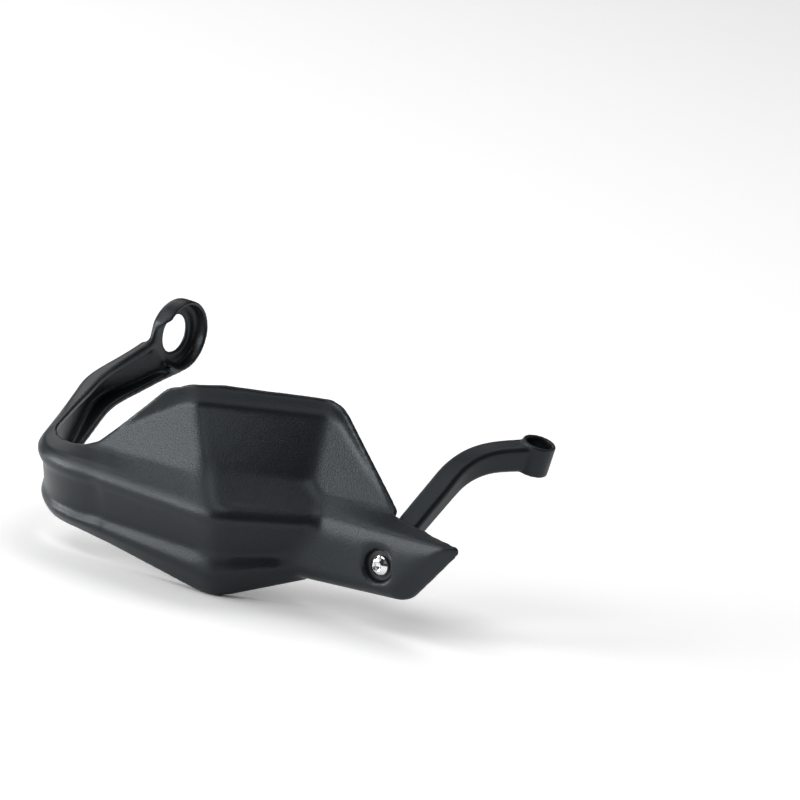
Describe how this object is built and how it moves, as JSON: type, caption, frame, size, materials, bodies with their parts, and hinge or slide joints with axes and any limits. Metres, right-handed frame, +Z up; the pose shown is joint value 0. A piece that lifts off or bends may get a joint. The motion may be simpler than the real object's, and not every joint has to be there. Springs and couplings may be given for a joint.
{
  "type": "motorcycle hand guard",
  "caption": "Moulded hand guard with a zigzag channel band, a leaning deflector panel with a lip, a loop arm ending in a bar-end eye, and a bent stay to the lever clamp.",
  "frame": {"origin": "centre of the bar-end hole, on the inner face of the eye's floor", "axes": "+X inward along the handlebar, +Y back towards the rider, +Z up; the guard is for the rider's right hand"},
  "size_m": [0.2642, 0.1554, 0.0974],
  "materials": {
    "shell_plastic": "fine-grained matte moulding",
    "bracket_plastic": "fine-grained matte moulding",
    "bright_screw": "polished",
    "dark_washer": "satin black",
    "insert_brass": "plain turned"
  },
  "bodies": {
    "root": {"guard_shell": "shell_plastic", "bracket": "bracket_plastic", "button_screw": "bright_screw", "washer": "dark_washer", "thread_insert": "insert_brass"}
  },
  "joints": []
}
